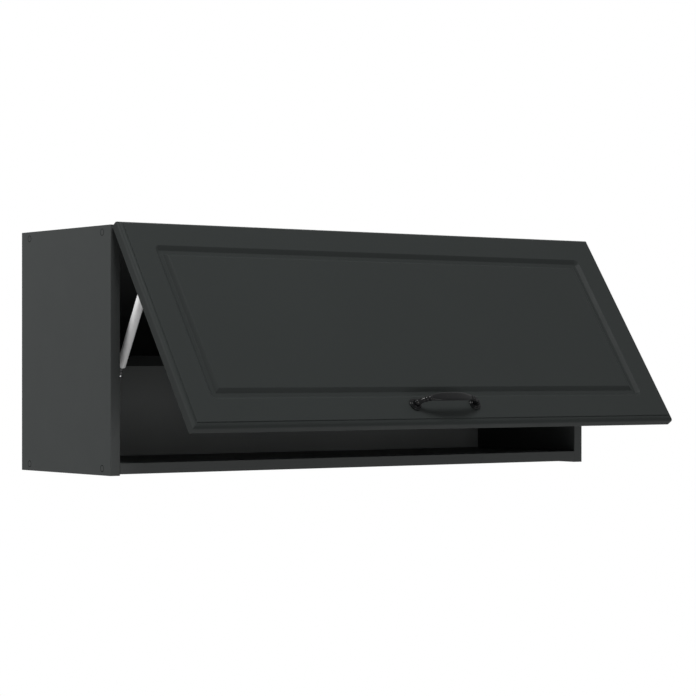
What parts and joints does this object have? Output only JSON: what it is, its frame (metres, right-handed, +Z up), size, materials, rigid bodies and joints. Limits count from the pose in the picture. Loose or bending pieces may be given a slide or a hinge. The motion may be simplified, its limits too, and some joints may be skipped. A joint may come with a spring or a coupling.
{
  "type": "lift up wall cabinet",
  "caption": "Wide, shallow wall cabinet with a top-hinged flap door, bow handle, routed frame line and telescopic stays, drawn with the door half raised.",
  "frame": {"origin": "middle of the top panel's rear edge face, on the wall plane", "axes": "+X along the cabinet's width to the right seen from the front, +Y into the wall, +Z up; the door faces -Y"},
  "size_m": [0.9002, 0.4888, 0.3636],
  "materials": {
    "board": "anthracite melamine on chipboard",
    "edge": "anthracite edge banding",
    "hdf": "painted fibreboard",
    "door_foil": "matt foil on fibreboard",
    "zinc": "zinc plated",
    "nickel": "nickel plated",
    "dark_steel": "satin dark grey",
    "strut_grey": "satin light grey",
    "ball_steel": "polished",
    "handle_black": "glossy black",
    "hanger_plastic": "moulded",
    "cover_plastic": "moulded",
    "cap_plastic": "moulded",
    "socket_plastic": "moulded",
    "beech": "bare",
    "buffer": "clear soft"
  },
  "bodies": {
    "carcass": {"side_left": "board", "side_right": "board", "top_panel": "board", "bottom_panel": "board", "shelf": "board", "back_panel": "hdf", "shelf_pins": "zinc", "edge_bands": "edge", "assembly_screws": "zinc", "screw_caps": "cap_plastic", "dowels": "beech", "hanger_case_left": "hanger_plastic", "hanger_case_right": "hanger_plastic", "hanger_hooks": "zinc", "hanger_screws": "zinc", "hanger_covers": "cover_plastic", "hinge_plates": "nickel", "plate_screws": "zinc", "hinge_arms": "nickel", "arm_screws": "zinc", "strut_base_left": "zinc", "strut_base_right": "zinc", "strut_base_screws": "zinc"},
    "door": {"door_panel": "door_foil", "handle": "handle_black", "handle_screws": "zinc", "hinge_cups": "nickel", "cup_screws": "zinc", "cup_pins": "nickel", "door_bracket_left": "zinc", "door_bracket_right": "zinc", "door_bracket_screws": "zinc", "door_buffers": "buffer"},
    "hinge_link_left": {"hinge_link_left": "nickel"},
    "strut_tube_left": {"strut_tube_left": "strut_grey", "strut_socket_left": "socket_plastic", "strut_rod_left": "zinc"},
    "strut_cylinder_left": {"strut_cylinder_left": "dark_steel", "strut_ball_left": "ball_steel"},
    "hinge_link_right": {"hinge_link_right": "nickel"},
    "strut_tube_right": {"strut_tube_right": "strut_grey", "strut_socket_right": "socket_plastic", "strut_rod_right": "zinc"},
    "strut_cylinder_right": {"strut_cylinder_right": "dark_steel", "strut_ball_right": "ball_steel"}
  },
  "joints": [
    {"name": "door_lift", "type": "hinge", "parent": "carcass", "child": "door", "pos_m": [0, -0.2675, 0.006], "axis": [-1, 0, 0], "range_deg": [-35, 45]},
    {"name": "hinge_link_left_turn", "type": "hinge", "parent": "door", "child": "hinge_link_left", "pos_m": [-0.33, -0.27946, -0.00149], "axis": [1, 0, 0], "range_deg": [-25.5, 32.5]},
    {"name": "strut_swing_left", "type": "hinge", "parent": "door", "child": "strut_tube_left", "pos_m": [-0.414, -0.30458, -0.06875], "axis": [1, 0, 0], "range_deg": [-38.5, 49.5]},
    {"name": "strut_slide_left", "type": "slide", "parent": "strut_tube_left", "child": "strut_cylinder_left", "axis": [0, 0.5043, -0.8635], "range_m": [-0.05, 0.064]},
    {"name": "hinge_link_right_turn", "type": "hinge", "parent": "door", "child": "hinge_link_right", "pos_m": [0.33, -0.27946, -0.00149], "axis": [1, 0, 0], "range_deg": [-25.5, 32.5]},
    {"name": "strut_swing_right", "type": "hinge", "parent": "door", "child": "strut_tube_right", "pos_m": [0.414, -0.30458, -0.06875], "axis": [1, 0, 0], "range_deg": [-38.5, 49.5]},
    {"name": "strut_slide_right", "type": "slide", "parent": "strut_tube_right", "child": "strut_cylinder_right", "axis": [0, 0.5043, -0.8635], "range_m": [-0.05, 0.064]}
  ],
  "couplings": [
    {"joint": "hinge_link_left_turn", "follows": "door_lift", "ratio": 0.71},
    {"joint": "strut_swing_left", "follows": "door_lift", "ratio": 1.0696},
    {"joint": "strut_slide_left", "follows": "door_lift", "m_per_rad": 0.08028},
    {"joint": "hinge_link_right_turn", "follows": "door_lift", "ratio": 0.71},
    {"joint": "strut_swing_right", "follows": "door_lift", "ratio": 1.0696},
    {"joint": "strut_slide_right", "follows": "door_lift", "m_per_rad": 0.08028}
  ]
}
